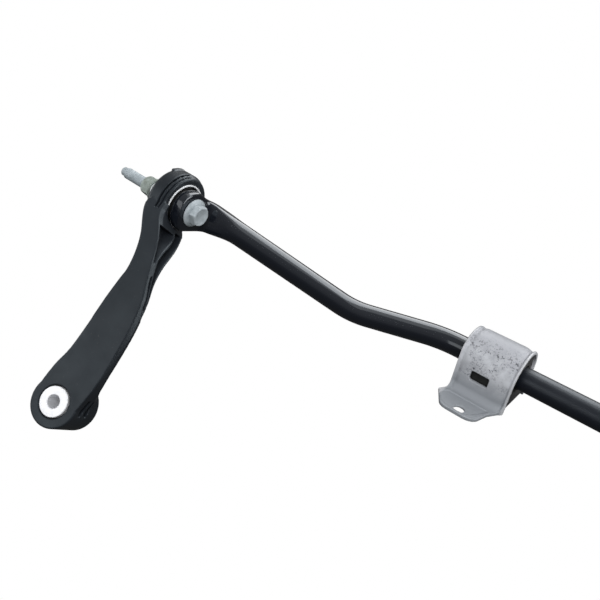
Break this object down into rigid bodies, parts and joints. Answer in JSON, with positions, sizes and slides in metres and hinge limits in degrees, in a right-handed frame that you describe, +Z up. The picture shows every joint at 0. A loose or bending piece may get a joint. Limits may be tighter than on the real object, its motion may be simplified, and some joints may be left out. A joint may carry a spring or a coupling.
{
  "type": "sway bar",
  "caption": "Steel anti-roll bar in saddle brackets with rubber bushings, each cranked arm ending in a flattened eye bolted to a bushed drop link.",
  "frame": {"origin": "midway between the two brackets, under the bar's torsion axis, at the height of the brackets' feet", "axes": "+X across the car along the torsion axis, +Z up from the brackets' feet, and the arms reach to -Y"},
  "size_m": [1.2474, 0.3948, 0.225],
  "materials": {
    "bar_enamel": "gloss black enamel over forged spring steel",
    "bracket_aluminium": "as-cast grey with dark speckles and polished rims",
    "link_plastic": "satin charcoal glass-filled plastic",
    "bush_rubber": "matte black rubber",
    "bush_steel": "bare turned steel",
    "sleeve_aluminium": "bright turned aluminium",
    "bolt_zinc": "zinc flake",
    "nut_zinc": "greenish passivated zinc"
  },
  "bodies": {
    "frame": {"bracket_left": "bracket_aluminium", "bracket_right": "bracket_aluminium", "bar_bushing_left": "bush_rubber", "bar_bushing_right": "bush_rubber"},
    "bar": {"stabiliser_bar": "bar_enamel", "flange_bolt_left": "bolt_zinc", "flange_bolt_right": "bolt_zinc", "flange_nut_left": "nut_zinc", "flange_nut_right": "nut_zinc", "upper_bush_tube_left": "bush_steel", "upper_bush_tube_right": "bush_steel"},
    "link_left": {"link_body_left": "link_plastic", "upper_bush_ring_left": "bush_steel", "upper_bush_rubber_left": "bush_rubber", "lower_bush_rubber_left": "bush_rubber"},
    "sleeve_left": {"lower_bush_tube_left": "sleeve_aluminium"},
    "link_right": {"link_body_right": "link_plastic", "upper_bush_ring_right": "bush_steel", "upper_bush_rubber_right": "bush_rubber", "lower_bush_rubber_right": "bush_rubber"},
    "sleeve_right": {"lower_bush_tube_right": "sleeve_aluminium"}
  },
  "joints": [
    {"name": "bar_twist", "type": "hinge", "parent": "frame", "child": "bar", "pos_m": [0, 0, 0.031], "axis": [1, 0, 0], "range_deg": [-25, 25], "stiffness_Nm_per_rad": 150},
    {"name": "link_swing_left", "type": "hinge", "parent": "bar", "child": "link_left", "pos_m": [-0.54723, -0.16329, 0.11926], "axis": [0.9915, 0.0763, -0.1055], "range_deg": [-20, 20], "stiffness_Nm_per_rad": 40},
    {"name": "sleeve_twist_left", "type": "hinge", "parent": "link_left", "child": "sleeve_left", "pos_m": [-0.5174, -0.2997, -0.0445], "axis": [0.242, -0.757, 0.607], "range_deg": [-20, 20], "stiffness_Nm_per_rad": 30},
    {"name": "link_swing_right", "type": "hinge", "parent": "bar", "child": "link_right", "pos_m": [0.54723, -0.16329, 0.11926], "axis": [0.9915, -0.0763, 0.1055], "range_deg": [-20, 20], "stiffness_Nm_per_rad": 40},
    {"name": "sleeve_twist_right", "type": "hinge", "parent": "link_right", "child": "sleeve_right", "pos_m": [0.5174, -0.2997, -0.0445], "axis": [0.242, 0.757, -0.607], "range_deg": [-20, 20], "stiffness_Nm_per_rad": 30}
  ]
}
